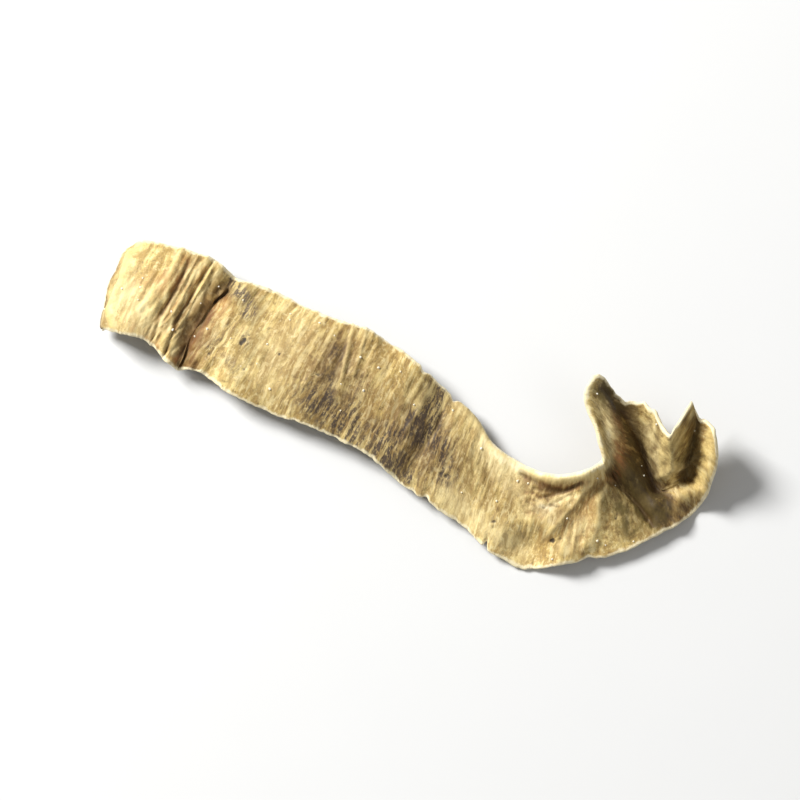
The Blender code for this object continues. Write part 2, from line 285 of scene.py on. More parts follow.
# Noises over the blade: length of their features along it and across it, and seed. Each finer layer
# is shifted against the one before
LAYER_SHIFT = (17.3, 5.1)
SWAY_NOISE = (6.0, 5.0, 71)
CROWD_NOISE = (5.0, 6.0, 61)
WRINKLE_NOISE = (0.95, 3.6, 81)
SWELL_NOISE = (4.8, 8.0, 91)
DIMPLE_NOISE = (1.7, 1.5, 101)
GRAIN_NOISE = (0.55, 1.6, 121)
# Height of the fine wrinkles at shares along the blade. They sway along it, and crowd in places:
# their least strength, and what is added to it there
WRINKLE_SHARES = (0.0, 0.03, 0.07, 0.10, 0.145, 0.20, 0.34, 0.42, 0.58, 0.70, 0.80, 1.0)
WRINKLE_HEIGHTS = (0.08, 0.08, 0.10, 0.24, 0.26, 0.09, 0.05, 0.07, 0.06, 0.10, 0.11, 0.10)
SWAY = 0.6
CROWDING = (0.35, 1.3)
SWELL_HEIGHT = 0.16
DIMPLE_HEIGHT = 0.06
GRAIN_HEIGHT = 0.035
# Shares of the relief that are left on the underside, and where the blade rests
UNDER_RELIEF = 0.8
REST_RELIEF = 0.25
# The border is rounded over this many half thicknesses, by this power. The blade is thinner at its
# edges: its share of the full thickness there, and how far in it reaches
ROUND_REACH = 1.1
ROUND_POWER = 2.2
EDGE_SHARE = 0.72
EDGE_REACH = 3.0
# Passes that smooth the directions of the surface
NORMAL_PASSES = 24
# Crests and hollows of two sizes, which the material paints as highlight and shade: passes that
# smooth them away, and the height that counts as one
CREST_SIZES = ((40, 0.45), (6, 0.16))
CREST_LIMIT = 1.5

# Stains, painted shade and painted highlights as strength, breadth and line
# Brown stains. On the slope beyond the valley, in the lobe's trough, in the gathers' creases and
# under the lip they are partly painted shade
RUST_AND_SHADE = (
    (0.8, 1.5, ((-44.6, 1.0), (-42.2, 2.4), (-40.4, 4.8))),
    (0.9, 0.6, ((-40.2, 8.6), (-39.7, 5.4), (-39.6, 1.0), (-39.6, -3.6))),
    (0.8, 0.5, ((-37.0, 8.4), (-37.1, 3.0), (-37.4, -2.0))),
    (0.6, 0.4, ((-38.4, 8.8), (-38.4, 4.6), (-38.7, 0.2))),
    (0.8, 0.9, ((-34.6, -5.6), (-37.4, -5.8), (-40.4, -5.0), (-42.6, -4.6))),
    (0.8, 1.8, ((-32.2, 5.0), (-33.2, 2.0), (-33.9, -2.0), (-33.8, -4.8))),
    (0.9, 1.2, ((28.9, 13.2), (30.6, 11.2), (32.0, 9.0), (32.4, 6.6), (31.8, 5.0))),
    # Painted shadow line under the lip
    (0.8, 0.6, LIP_SHADOW_LINE),
    *((rust, 0.30, line) for rise, rust, line in GATHERS),
    (0.40, 1.2, ((27.0, -7.0), (29.2, -4.0), (30.1, -0.6), (30.6, 3.0))),
    (0.4, 2.0, ((31.6, -2.0), (31.2, -5.4))),
)
# Dark streaked stains in the run. Along the valley, the lobe's trough, the hollow of the lobe's tip
# and beyond the fan's crease they are painted shade
SMOKE_AND_SHADE = (
    (1.0, 2.3, ((3.0, 6.8), (3.2, 3.8), (2.9, 0.9), (2.1, -3.2), (1.0, -5.4))),
    (0.9, 2.4, ((2.5, 0.5), (6.9, -0.8), (9.4, -4.8))),
    (0.9, 2.4, ((-1.4, -3.4), (0.4, -6.0), (4.4, -7.6))),
    (1.0, 2.4, ((-14.6, -2.8), (-10.5, -4.2), (-5.4, -5.2))),
    (0.7, 1.8, ((-13.4, 5.4), (-12.8, 1.0), (-11.6, -3.0))),
    (0.6, 1.4, ((-8.6, 2.6), (-7.6, -1.0), (-6.6, -4.0))),
    (0.4, 0.7, ((-33.2, 7.0), (-33.8, 4.3), (-34.6, 1.0), (-35.1, -2.5), (-34.8, -5.1))),
    (1.3, 1.3, ((-31.6, 7.6), (-29.6, 6.8), (-28.0, 5.2))),
    (1.0, 0.8, ((-33.4, 9.4), (-32.0, 8.4))),
    # Painted shadow in the slit
    (2.0, 0.45, SLIT),
    (0.6, 1.0, ((-30.0, 2.2), (-30.8, -2.0))),
    (0.7, 0.9, ((-27.4, -3.0), (-26.0, -4.4))),
    (0.6, 0.8, ((-27.4, 1.4), (-26.2, 0.2))),
    (0.5, 0.8, ((-31.2, -2.6), (-30.4, -3.8))),
    (0.3, 1.0, ((20.6, 0.0), (24.2, -0.4), (28.0, 0.8))),
    (0.6, 1.9, ((36.6, 7.8), (39.2, 6.2), (41.4, 4.4), (44.4, 5.0))),
    (0.3, 1.4, ((33.2, 3.2), (35.4, 2.0), (37.4, 0.4))),
    (0.4, 1.0, ((25.0, 16.4), (27.0, 15.6), (28.6, 14.8))),
    (0.5, 0.9, ((28.4, 14.9), (31.5, 13.6), (34.2, 11.7), (36.2, 9.6), (38.9, 6.9))),
)
# Olive stains. On the dark facet beyond the fan's crease, in the lobe's trough and on the left wall
# of the second lobe they are mostly painted shade
OLIVE_AND_SHADE = (
    (1.0, 2.0, ((33.4, 2.4), (36.0, 1.4), (38.0, -0.4))),
    (2.2, 1.8, ((33.0, 7.2), (35.6, 6.6), (38.4, 4.8), (40.8, 3.0))),
    (1.4, 1.9, ((25.6, 16.6), (28.8, 14.9), (32.4, 11.8), (34.8, 8.4), (40.5, 5.4))),
    (1.0, 1.6, ((40.0, 19.3), (40.5, 16.0), (40.9, 12.6))),
    (0.5, 3.2, ((-30.0, 8.0), (-27.0, 5.0), (-25.0, -3.0))),
    (0.4, 2.0, ((-34.5, 1.0), (-34.4, -5.0))),
    (0.5, 3.0, ((0.0, 6.0), (3.0, -1.0), (3.0, -7.0))),
    (0.4, 3.0, ((-13.0, 4.0), (-12.0, -4.0))),
    (0.4, 3.0, ((33.0, 14.0), (37.0, 11.4))),
    (0.25, 3.6, ((12.0, -2.4), (18.0, -4.0), (24.0, -4.6), (30.0, -5.0))),
)
# Painted shade, multiplied over the colour in the valleys, troughs and grooves, on the cut end that
# turns down, under the lip and by the lobes; broad dim stains in the middle of the run
SHADE_AND_DIM_STAIN = (
    (0.7, 6.5, ((-13.0, 4.0), (-7.0, -1.0), (4.0, -2.0))),
    (0.5, 2.6, ((-13.8, 6.0), (-12.8, 0.0), (-11.4, -4.6))),
    (0.35, 3.2, ((2.4, 4.0), (2.4, -5.0))),
    (0.35, 2.0, ((45.0, 3.5), (46.6, 9.0), (46.2, 14.0))),
    (1.4, 1.6, ((27.6, 15.8), (30.8, 13.6), (33.4, 11.0), (35.4, 8.8), (38.6, 7.2), (42.0, 5.4))),
    (0.7, 1.3, ((31.6, 9.8), (32.6, 7.6), (33.2, 6.2))),
    (1.3, 1.5, ((32.8, 6.8), (35.6, 6.4), (38.6, 4.8), (41.2, 3.2))),
    (0.6, 2.0, ((33.6, 2.4), (36.6, 1.2), (38.4, -0.8))),
    # Painted shadow line under the lip
    (0.7, 0.5, LIP_SHADOW_LINE),
    (0.3, 2.4, ((33.4, 14.0), (37.0, 11.4))),
    (0.7, 2.6, ((24.6, -1.6), (26.6, -3.0))),
    (0.6, 0.30, ((22.6, -3.1), (24.2, -3.6), (25.8, -3.4))),
    # Painted shadow in the slit
    (2.0, 0.45, SLIT),
    (0.8, 2.6, ((38.4, 5.0), (42.5, 3.0), (45.0, 6.5))),
    (0.5, 0.9, ((25.4, 16.2), (26.8, 15.6), (28.2, 15.0))),
    (0.3, 1.6, ((40.1, 18.6), (40.5, 16.0), (40.9, 12.6))),
    (1.1, 1.6, ((-32.8, 7.4), (-34.0, 3.6), (-34.4, -0.6), (-34.0, -5.2))),
    (1.0, 0.9, ((-34.7, 3.4), (-35.2, 0.0), (-35.3, -3.0), (-34.9, -5.6))),
    (0.9, 1.2, ((-33.4, 2.0), (-33.3, -1.0), (-32.9, -3.6), (-32.4, -5.6))),
    (0.5, 0.30, ((-36.9, 8.0), (-37.1, 3.0), (-37.5, -2.0))),
    (0.5, 0.30, ((-39.8, 8.6), (-39.6, 5.4), (-39.7, 1.0), (-40.0, -3.0))),
    (0.4, 2.6, ((-38.8, 8.4), (-38.8, 0.0))),
    (0.9, 1.3, ((-49.6, 5.0), (-49.0, -1.0), (-47.8, -6.0))),
    (0.38, 4.0, ((8.0, -2.0), (20.0, -3.6))),
    (0.26, 5.0, ((-25.0, 4.0), (-20.0, -3.0))),
)
# Painted highlights on crests, ridges, the rolled lip and the lower edge, with some pale tone
PALE_AND_HIGHLIGHTS = (
    (1.0, 0.8, ((24.4, -3.0), (25.8, -2.6), (26.8, -1.2), (27.4, -0.2))),
    (0.5, 1.0, ((26.2, -4.0), (26.4, -2.4))),
    (0.6, 1.9, ((11.0, -7.4), (13.6, -8.2), (19.0, -9.4), (24.0, -9.4))),
    (0.6, 1.1, ((26.4, 13.8), (28.2, 12.4), (29.4, 11.2))),
    (1.7, 0.62, ((17.6, 1.6), (21.0, 1.2), (23.8, 1.4), (26.4, 2.5), (28.6, 4.2))),
    (0.35, 1.2, ((22.6, -4.8), (25.0, -2.6))),
    (0.35, 0.35, FAN_RIDGE),
    (0.5, 0.28, ((31.8, 4.2), (32.2, 0.8), (33.4, -1.8), (33.6, -5.0))),
    (0.35, 1.6, ((31.2, -3.0), (30.6, -6.6))),
    (0.9, 0.35, ((-34.9, 9.0), (-35.7, 4.3), (-36.3, 0.9), (-36.4, -2.8), (-36.1, -5.4))),
    (0.5, 0.40, ((-41.3, 9.0), (-41.2, 6.0), (-42.2, 1.6), (-43.0, -2.0))),
    (0.7, 0.30, ((-38.9, 9.0), (-39.1, 5.5), (-39.2, 2.0), (-39.4, -2.4))),
    (0.7, 0.26, ((-37.8, 8.8), (-38.0, 6.0), (-37.9, 3.4), (-38.2, 0.6), (-37.9, -2.6))),
    (0.9, 0.26, ((-13.0, 10.2), (-12.3, 7.4), (-11.6, 4.6), (-10.9, 1.4))),
    (0.8, 0.24, ((-10.9, 10.4), (-10.4, 8.0), (-9.8, 5.0))),
    (0.7, 2.6, ((-45.2, -0.6), (-42.6, -2.6), (-40.8, -3.6))),
    (0.5, 0.9, ((6.0, 6.2), (10.4, 4.4), (13.8, 2.0), (17.6, 1.2), (21.0, 1.0))),
    (0.7, 1.5, ((12.6, 2.6), (15.4, 1.4), (18.2, 0.4))),
    (0.8, 0.6, ((30.4, 6.0), (30.9, 7.4), (30.6, 8.6), (29.4, 10.2), (28.2, 12.0))),
    (0.7, 0.30, ((-48.0, 4.5), (-47.5, 1.0), (-47.0, -3.0), (-45.2, -5.4))),
    (0.3, 2.6, ((-20.0, 7.0), (-21.0, 0.0), (-20.0, -4.0))),
    (0.35, 1.0, ((-47.2, 4.0), (-46.8, -2.0))),
    (0.5, 1.5, ((13.0, 1.4), (17.4, -1.4), (20.6, -2.0))),
    (0.7, 1.1, ((34.4, 14.6), (36.8, 12.4), (38.0, 10.2))),
    (0.6, 0.5, ((39.0, 9.4), (40.8, 11.6), (42.4, 13.9))),
    (1.6, 0.8, ((28.0, 3.9), (28.9, 4.8), (29.5, 5.9), (29.9, 6.9), (29.5, 7.8), (28.5, 8.7))),
    (0.8, 0.6, ((28.5, 8.7), (26.8, 10.2), (25.5, 11.4), (23.9, 13.3), (23.4, 15.3))),
)
STAINS_AND_PAINTED_LIGHT = {"rust": RUST_AND_SHADE, "smoke": SMOKE_AND_SHADE, "olive": OLIVE_AND_SHADE, "dusk": SHADE_AND_DIM_STAIN, "pale": PALE_AND_HIGHLIGHTS}
# Salt bloom: grains at these plan places, and more strewn over the upper face
SALT_PLACES = (
    (-14.6, 7.2), (-10.7, 0.8), (-17.5, 7.9), (-7.2, 1.4), (-34.0, 6.9), (-23.5, -1.7),
    (35.6, 9.2), (-29.6, 6.4), (12.6, -6.0), (29.4, -9.4), (-20.2, -4.4), (40.2, -2.2),
)

# How far the textures of the underside are shifted from those above, in mm
UNDER_SHIFT = (0.0, 0.0, 6.0)
# The veins of the lobes spread from this place in plan. Across them, an angle of one radian counts
# as this many mm
VEIN_ROOT = (40.5, 2.5)
VEIN_SPREAD = 12.0

# Round the turn the upper edge rolls over as a smooth lip: the shares along the blade where this
# starts, is full, fades and ends, how far the lip drops, its breadth, and how far in it is smooth
TURN_RUN = (0.50, 0.60, 0.90, 0.97)
LIP_DROP = 0.6
LIP_BREADTH = 0.45
LIP_REACH = 2.0
# At the inner corner of the turn, about this share along the blade, the lip drops further and is
# broader, and so is its pale rim, which there is partly painted highlight
CORNER = 0.868
CORNER_SPREAD = 0.055
CORNER_DROP = 1.4
CORNER_BREADTH = 0.85
CORNER_RIM = 1.3

# Least distance of the salt from the edge, and for its grains: widths as shares of the mean one,
# how uneven they are, and how far they are raised, as a share of their width
SALT_MARGIN = 0.8
SALT_WIDTHS = (0.55, 1.25)
SALT_ROUGHNESS = (0.7, 1.15)
SALT_RISE = 0.12
SALT_SEED = 5

# The view: degrees from straight along +Y and above the horizon, and the point it is aimed at
VIEW_AZIMUTH = 25.0
VIEW_ELEVATION = 80.0
VIEW_AIM = (0.0, -1.2, 4.5)
SENSOR_WIDTH = 36.0
# The floor and the lights, in metres: for each light its name, direction in the picture, width, and
# power as a share of the key light's
FLOOR_SIZE = 3.0
LIGHT_AWAY = 0.90
SOFTBOXES = (
    ("key", (-0.85, 0.60, 0.95), 0.30, 1.0),
    ("fill", (0.9, -0.4, 1.1), 0.60, 0.06),
)


# Numbers and curves


def smooth_curve(knots, values, places):
    """Reads a smooth curve, which passes through values at knots, at each of places."""
    slopes = np.gradient(values, knots, axis=0)
    left = np.clip(np.searchsorted(knots, places, side="right") - 1, 0, len(knots) - 2)
    span = (knots[left + 1] - knots[left])[:, None]
    t = (places - knots[left])[:, None] / span
    start, end = values[left], values[left + 1]
    leave, arrive = slopes[left] * span, slopes[left + 1] * span
    bend = (leave - 2.0 * (end - start) + arrive) * t + 3.0 * (end - start) - 2.0 * leave - arrive
    return start + (leave + bend * t) * t


def ease(t):
    """Smooth step from 0 to 1."""
    t = np.clip(t, 0.0, 1.0)
    return t * t * (3.0 - 2.0 * t)


def station_knots(rows):
    """Share of the blade's mean length at which each station stands."""
    middles = (rows[:, 0:2] + rows[:, 2:4]) / 2.0
    steps = np.linalg.norm(np.diff(middles, axis=0), axis=1)
    knots = np.concatenate(([0.0], np.cumsum(steps)))
    return knots / knots[-1]


def end_shift(profile, across):
    """How far an end edge stands off the straight line between its corners."""
    shares = np.array([share for share, place in profile])
    places = np.array([place for share, place in profile])
    edge_x = np.interp(across, shares, places[:, 0])
    edge_y = np.interp(across, shares, places[:, 1])
    straight = places[0] + (places[-1] - places[0]) * across[:, None]
    return np.column_stack((edge_x, edge_y)) - straight


def distance_to_line(plan, line):
    """Distance in plan from each point to a line of straight pieces."""
    nearest = np.full(len(plan), np.inf)
    for start, end in zip(line[:-1], line[1:]):
        start, reach = np.array(start), np.subtract(end, start)
        share = np.clip((plan - start) @ reach / (reach @ reach), 0.0, 1.0)
        away = np.linalg.norm(plan - start - share[:, None] * reach, axis=1)
        nearest = np.minimum(nearest, away)
    return nearest


def near_lines(plan, marks):
    """Sum of soft strokes, each of a strength and breadth along its line."""
    total = np.zeros(len(plan))
    for strength, breadth, line in marks:
        total += strength * np.exp(-((distance_to_line(plan, line) / breadth) ** 2))
    return total


def ruffle(along, waves):
    """Rise of an edge's ruffle, as waves that start level at the cut end."""
    return sum(rise * np.sin(2.0 * np.pi * count * along) for rise, count in waves)


def noise(x, y, seed):
    """Smooth noise from -1 to 1 with features one unit across."""
    lattice = np.random.default_rng(seed).uniform(-1.0, 1.0, (257, 257))
    column, row = np.floor(x).astype(int), np.floor(y).astype(int)
    u, v = ease(x - column), ease(y - row)
    column, row = column % 256, row % 256
    low = lattice[column, row] * (1.0 - u) + lattice[column + 1, row] * u
    high = lattice[column, row + 1] * (1.0 - u) + lattice[column + 1, row + 1] * u
    return low * (1.0 - v) + high * v


def blade_noise(length, side, kind, layers):
    """Noise with finer and fainter noise on it, at places in mm along and across the blade."""
    run, breadth, seed = kind
    total, weight = 0.0, 1.0
    for layer in range(layers):
        finer = 2.0**layer
        x = length / run * finer + LAYER_SHIFT[0] * layer
        y = side / breadth * finer + LAYER_SHIFT[1] * layer
        total = total + weight * noise(x, y, seed + layer)
        weight *= 0.5
    return total


def smoothed(grid, passes):
    """A grid averaged with its neighbours, again and again."""
    for number in range(passes):
        for axis in (0, 1):
            pad = [(0, 0)] * grid.ndim
            pad[axis] = (1, 1)
            padded = np.pad(grid, pad, mode="edge")
            low = np.take(padded, range(0, grid.shape[axis]), axis)
            high = np.take(padded, range(2, grid.shape[axis] + 2), axis)
            grid = 0.25 * low + 0.5 * grid + 0.25 * high
    return grid


# The blade's form


def where_free(plan):
    """0 on the spots where the blade rests, easing to 1 away from them."""
    free = np.ones(len(plan))
    for spot, flat, reach in REST_SPOTS:
        free *= ease((np.linalg.norm(plan - spot, axis=1) - flat) / reach)
    return free


def rest_flat(plan, height, level):
    """The height with the blade brought down to where it touches the surface."""
    height = np.maximum(height, level + CLEAR)
    for spot, flat, reach in REST_SPOTS:
        away = np.linalg.norm(plan - spot, axis=1)
        height = level + (height - level) * ease((away - flat) / reach)
    return height


def border_rows(count, near, shares, lengths):
    """Shares of the way for the rows of the grid, with a few close to both borders."""
    inner = np.linspace(0.0, 1.0, count)[1:-1]
    inner = np.interp(inner, shares, lengths)
    near = np.array(near)
    gap = near[-1] * BORDER_GAP
    inner = inner[(inner > gap) & (inner < 1.0 - gap)]
    return np.concatenate(([0.0], near, inner, 1.0 - near[::-1], [1.0]))


def nicks(place, marks, scale):
    """How deep an edge is nicked at each place along it."""
    total = 0.0
    for share, depth, half in marks:
        total = total + depth * np.exp(-(((place - share) * scale / half) ** 2))
    return total


def ragged(place, seed, strength):
    """Small irregular bites of an edge, in mm, at places in mm along it."""
    bites = 0.0
    for number, (depth, length) in enumerate(BITES):
        bites = bites + depth * noise(place / length, place * 0.0, seed + number)
    return strength * bites


def draw_in(plan, inward, depth, away, reach):
    """Moves the points near an edge in from it by the depth of its bites."""
    plan += inward * (depth * ease(1.0 - away / reach))[:, None]


def in_turn(along):
    """1 where the blade turns, easing to 0 outside."""
    start, full, leave, end = TURN_RUN
    return ease((along - start) / (full - start)) * ease((end - along) / (end - leave))


def at_corner(along):
    """1 at the inner corner of the turn, dying out along the blade to both sides."""
    return np.exp(-(((along - CORNER) / CORNER_SPREAD) ** 2))


def blade_surface(along, across, level):
    """Places of points on the blade's middle surface in mm, and the blade's width at each."""
    rows = np.array([upper + lower + heights for upper, lower, heights in STATIONS])
    knots = station_knots(rows)
    sections = smooth_curve(knots, rows, along)
    upper, lower = sections[:, 0:2], sections[:, 2:4]
    plan = upper + (lower - upper) * across[:, None]
    plan += ease(1.0 - along / CUT_END_REACH)[:, None] * end_shift(CUT_END, across)
    plan += ease(1.0 - (1.0 - along) / TORN_END_REACH)[:, None] * end_shift(TORN_END, across)
    width = np.linalg.norm(lower - upper, axis=1)
    side = across * width
    turning = in_turn(along)

    at_upper, at_middle, at_lower = sections[:, 4], sections[:, 5], sections[:, 6]
    height = at_upper * (1.0 - across) * (1.0 - 2.0 * across)
    height += 4.0 * at_middle * across * (1.0 - across)
    height += at_lower * across * (2.0 * across - 1.0)
    height += near_lines(plan, FOLDS)
    starts, tallest, ends = CURL_RUN
    swell = ease((along - starts) / (tallest - starts)) * ease((ends - along) / (ends - tallest))
    height += CURL_RISE * swell * np.exp(-((side / CURL_BREADTH) ** 2))
    height -= LIP_DROP * turning * np.exp(-((side / LIP_BREADTH) ** 2))
    height -= CORNER_DROP * at_corner(along) * np.exp(-((side / CORNER_BREADTH) ** 2))
    height += ruffle(along, UPPER_RUFFLES) * ease(1.0 - across / RUFFLE_BREADTH)
    height += ruffle(along, LOWER_RUFFLES) * ease(1.0 - (1.0 - across) / RUFFLE_BREADTH)

    inward = (lower - upper) / width[:, None]
    run = np.gradient((rows[:, 0:2] + rows[:, 2:4]) / 2.0, axis=0)
    run = smooth_curve(knots, run, along)
    run /= np.linalg.norm(run, axis=1)[:, None]
    length = along * MEAN_LENGTH
    seed, strength, reach = UPPER_WEAR
    bite = ragged(length, seed, strength - TURN_KEPT * turning)
    draw_in(plan, inward, bite + nicks(along, UPPER_NICKS, MEAN_LENGTH), side, reach)
    seed, strength, reach = LOWER_WEAR
    bite = ragged(length, seed, strength) + nicks(along, LOWER_NICKS, MEAN_LENGTH)
    draw_in(plan, -inward, bite, (1.0 - across) * width, reach)
    seed, strength, reach = TORN_WEAR
    bite = ragged(across * TORN_WIDTH, seed, strength) + nicks(across, TORN_NICKS, TORN_WIDTH)
    draw_in(plan, -run, bite, (1.0 - along) * MEAN_LENGTH, reach)
    seed, strength, reach = CUT_WEAR
    draw_in(plan, run, ragged(across * CUT_WIDTH, seed, strength), length, reach)
    return np.column_stack((plan, rest_flat(plan, height, level))), width


def fine_relief(length, side, along, plan, wrinkle):
    """Wrinkles finer than the part's folds, in mm above the middle surface."""
    sway = SWAY * blade_noise(length, side, SWAY_NOISE, 1)
    strength = np.interp(along, WRINKLE_SHARES, WRINKLE_HEIGHTS)
    least, more = CROWDING
    strength *= least + more * ease(0.5 + 0.8 * blade_noise(length, side, CROWD_NOISE, 1))
    wrinkles = blade_noise(length + sway, side, WRINKLE_NOISE, 3)
    swell = blade_noise(length, side, SWELL_NOISE, 2)
    dimples = blade_noise(length, side, DIMPLE_NOISE, 2)
    relief = wrinkle * (strength * wrinkles + SWELL_HEIGHT * swell + DIMPLE_HEIGHT * dimples)
    # The rolled lip is smooth
    relief *= 1.0 - in_turn(along) * ease(1.0 - side / LIP_REACH)
    return relief + near_lines(plan, CREASES)


def border_distance(points):
    """Distance of each point of the grid from the nearest border, in mm over the blade."""
    near = []
    for axis in (0, 1):
        steps = np.linalg.norm(np.diff(points, axis=axis), axis=2)
        gone = np.cumsum(steps, axis=axis)
        start = np.zeros_like(np.take(gone, [0], axis))
        gone = np.concatenate((start, gone), axis=axis)
        near += [gone, np.take(gone, [-1], axis) - gone]
    return np.minimum.reduce(near)


def outward_from(points):
    """Direction out of the upper face at each point of the grid, eased over sharp turns."""
    run, side = np.gradient(points, axis=0), np.gradient(points, axis=1)
    outward = np.cross(side, run)
    outward /= np.linalg.norm(outward, axis=2)[:, :, None]
    outward = smoothed(outward, NORMAL_PASSES)
    return outward / np.linalg.norm(outward, axis=2)[:, :, None]


def pit_depths(plan):
    """How deep the pits go at each point, from 0 to 1."""
    pits = np.zeros(len(plan))
    grain = plan / PIT_GRAIN
    uneven = 1.0 + PIT_UNEVEN * noise(grain[:, 0], grain[:, 1], PIT_NOISE_SEED)
    draw = np.random.default_rng(PIT_SEED)
    for strength, breadth, place in PITS:
        for share in (1.0,) + CLUSTER:
            spot = np.add(place, draw.normal(0.0, CLUSTER_SPREAD, 2) * (share < 1.0))
            reach = breadth * (0.5 + 0.5 * share)
            away = np.linalg.norm(plan - spot, axis=1) * uneven / reach
            pits += strength * share * np.exp(-(away**2))
    return np.clip(pits, 0.0, 1.0)


def crests_of(heights):
    """How far each point stands out from what lies round it: hollows are below 0."""
    crest = 0.0
    for passes, height in CREST_SIZES:
        crest = crest + (heights - smoothed(heights, passes)) / height
    return np.clip(crest, -CREST_LIMIT, CREST_LIMIT)


def material_places(plan, length, side):
    """What the material's patterns follow: places over the blade, and round the veins' root."""
    none = np.zeros(len(plan))
    from_root = plan - VEIN_ROOT
    away = np.linalg.norm(from_root, axis=1)
    angle = np.arctan2(from_root[:, 1], from_root[:, 0])
    return {
        "blade_place": np.stack((length, side, none), axis=1),
        "vein_place": np.stack((away, angle * VEIN_SPREAD, none), axis=1),
    }


def blade_form(sizes):
    """Both faces of the blade as grids of points in mm, and what the material needs there."""
    shares_along = border_rows(ROWS_ALONG, BORDER_ALONG, ROW_SHARES, LENGTH_SHARES)
    shares_across = border_rows(ROWS_ACROSS, BORDER_ACROSS, (0.0, 1.0), (0.0, 1.0))
    shape = (len(shares_along), len(shares_across))
    grids = np.meshgrid(shares_along, shares_across, indexing="ij")
    along, across = (grid.ravel() for grid in grids)
    half = sizes.thickness / MM / 2.0
    middle, width = blade_surface(along, across, half)
    plan = middle[:, :2]
    length, side = along * MEAN_LENGTH, across * width
    points = middle.reshape(shape + (3,))
    outward = outward_from(points)
    edge = border_distance(points)

    # The relief dies out where the blade rests, so that its flat spots stay flat
    free = where_free(plan)
    relief = fine_relief(length, side, along, plan, sizes.wrinkle_height)
    relief = (relief * (REST_RELIEF + (1.0 - REST_RELIEF) * free)).reshape(shape)
    inner = np.clip(edge / (half * ROUND_REACH), 0.0, 1.0)
    round_over = (1.0 - (1.0 - inner) ** ROUND_POWER) ** (1.0 / ROUND_POWER)
    body = half * (EDGE_SHARE + (1.0 - EDGE_SHARE) * ease(edge / EDGE_REACH)) * round_over
    pits = pit_depths(plan).reshape(shape)
    grain = GRAIN_HEIGHT * blade_noise(length, side, GRAIN_NOISE, 2).reshape(shape)
    upper = points + outward * (relief + body + (grain - PIT_DEPTH * pits) * round_over)[:, :, None]
    under = points + outward * (relief * UNDER_RELIEF - body)[:, :, None]
    under = np.where(round_over[:, :, None] > 0.0, under, upper)
    border = np.ones(shape, bool)
    border[1:-1, 1:-1] = False
    under[border] = upper[border]
    for face in (upper, under):
        face[:, :, :2] -= PLAN_CENTRE
        face[:, :, 2] = np.maximum(face[:, :, 2], 0.0)

    # At the inner corner of the turn the pale rim, there partly painted highlight, is broader
    broader = 1.0 + CORNER_RIM * at_corner(along) * ease(1.0 - 3.0 * across)
    marks = {
        "crest": crests_of(upper[:, :, 2]) * free.reshape(shape),
        "edge_distance": edge / broader.reshape(shape),
        "pit": pits,
    }
    for name, strokes in STAINS_AND_PAINTED_LIGHT.items():
        marks[name] = near_lines(plan, strokes).reshape(shape)
    places = material_places(plan, length, side)
    for name, place in places.items():
        places[name] = place.reshape(shape + (3,))
    return upper, under, places, marks


def shell_indices(columns, rows):
    """Point numbers for both faces, which share the border, as two grids."""
    upper = np.arange(columns * rows).reshape(columns, rows)
    under = upper.copy()
    inner = (columns - 2) * (rows - 2)
    under[1:-1, 1:-1] = columns * rows + np.arange(inner).reshape(columns - 2, rows - 2)
    return upper, under


def quads(numbers, flip):
    """Corners of the quads of a grid of point numbers."""
    corners = [numbers[:-1, :-1], numbers[1:, :-1], numbers[1:, 1:], numbers[:-1, 1:]]
    if flip:
        corners = corners[::-1]
    return np.stack([corner.ravel() for corner in corners], axis=1)


def on_shell(upper, under):
    """Values for every point of the shell, from its values on both faces."""
    flat = upper.reshape((-1,) + upper.shape[2:])
    inner = under[1:-1, 1:-1]
    return np.concatenate((flat, inner.reshape((-1,) + upper.shape[2:])))


def blade_mesh(sizes):
    """The whole blade as one closed mesh that carries its marks as attributes."""
    upper, under, places, marks = blade_form(sizes)
    numbers_upper, numbers_under = shell_indices(*upper.shape[:2])
    faces = np.concatenate((quads(numbers_upper, True), quads(numbers_under, False)))
    points = on_shell(upper, under) * MM
    mesh = bpy.data.meshes.new("dried_kombu")
    mesh.from_pydata(points.tolist(), [], faces.tolist())
    mesh.shade_smooth()
    for name, place in places.items():
        column = mesh.attributes.new(name, "FLOAT_VECTOR", "POINT")
        values = on_shell(place, place + UNDER_SHIFT).astype(np.float32)
        column.data.foreach_set("vector", values.ravel())
    marks["underside"] = np.zeros(upper.shape[:2])
    for name, values in marks.items():
        below = np.ones_like(values) if name == "underside" else values
        column = mesh.attributes.new(name, "FLOAT", "POINT")
        column.data.foreach_set("value", on_shell(values, below).astype(np.float32))
    return mesh


# Materials


